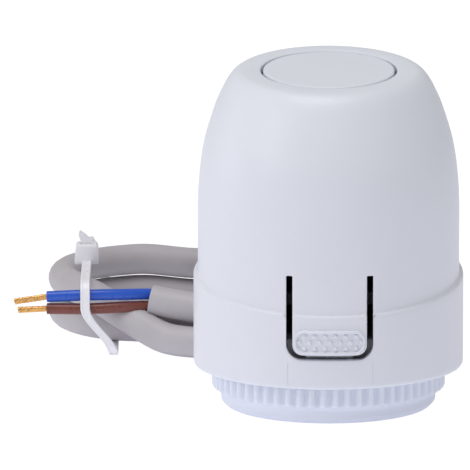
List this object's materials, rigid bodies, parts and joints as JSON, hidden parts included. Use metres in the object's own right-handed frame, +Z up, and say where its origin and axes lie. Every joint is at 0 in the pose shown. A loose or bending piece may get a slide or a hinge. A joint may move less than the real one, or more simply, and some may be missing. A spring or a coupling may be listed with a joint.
{
  "type": "thermal valve actuator head",
  "caption": "Domed white screw-on actuator head for a radiator or manifold valve, with ribbed adapter ring, release tongue, position indicator and tied two-core supply lead.",
  "frame": {"origin": "centre of the adapter ring's lower rim, on the stroke axis", "axes": "+Z up along the stroke axis away from the valve, -Y towards the release tongue, the supply lead leaves towards +Y"},
  "size_m": [0.0743, 0.1045, 0.0567],
  "materials": {
    "housing_white": "fine satin grain",
    "ring_white": "satin moulded",
    "inner_grey": "satin moulded",
    "seal_rubber": "matte",
    "steel": "zinc plated",
    "brass": "turned",
    "ceramic": "fired ceramic",
    "cord_grey": "satin pvc jacket",
    "core_blue": "smooth insulation",
    "core_brown": "smooth insulation",
    "copper": "bright stranded copper",
    "tie_nylon": "natural nylon"
  },
  "bodies": {
    "housing": {"outer_housing": "housing_white", "indicator_seal": "seal_rubber", "chassis": "inner_grey", "bottom_cover": "ring_white", "spring_retainer": "inner_grey", "retainer_screw_left": "steel", "retainer_screw_right": "steel", "wax_piston": "steel", "guide_bush": "brass", "plunger_seal": "seal_rubber", "return_spring": "steel", "strain_relief": "cord_grey", "cord_clamp": "inner_grey", "terminal_block": "inner_grey", "terminal_screw_blue": "steel", "terminal_screw_brown": "steel", "inner_wire_brown": "core_brown", "inner_wire_blue": "core_blue", "cord_lead": "cord_grey", "cord_coil": "cord_grey", "cord_hank": "cord_grey", "core_blue": "core_blue", "core_brown": "core_brown", "core_tip_blue": "copper", "core_tip_brown": "copper", "cable_tie": "tie_nylon"},
    "carriage": {"carriage": "inner_grey", "wax_cartridge": "brass", "lower_contact": "brass", "ptc_heater": "ceramic", "upper_contact": "brass", "heater_cap": "inner_grey", "valve_plunger": "inner_grey", "indicator_cap": "housing_white"},
    "tongue": {"release_tongue": "housing_white"},
    "slider": {"locking_slider": "steel"},
    "adapter": {"adapter_ring": "ring_white"}
  },
  "joints": [
    {"name": "stroke", "type": "slide", "parent": "housing", "child": "carriage", "axis": [0, 0, 1], "range_m": [0, 0.004], "stiffness_N_per_m": 1000, "springref_m": -0.01, "deforming": ["return_spring"]},
    {"name": "release", "type": "hinge", "parent": "housing", "child": "tongue", "pos_m": [0, -0.0205, 0.0248], "axis": [1, 0, 0], "range_deg": [0, 8]},
    {"name": "lock_slide", "type": "slide", "parent": "housing", "child": "slider", "axis": [0, 1, 0], "range_m": [0, 0.0012], "stiffness_N_per_m": 4000, "springref_m": -0.0002},
    {"name": "ring_turn", "type": "hinge", "parent": "housing", "child": "adapter", "pos_m": [0, 0, 0], "axis": [0, 0, 1], "continuous": true}
  ],
  "couplings": [
    {"joint": "release", "follows": "lock_slide", "rad_per_m": 116.3}
  ]
}
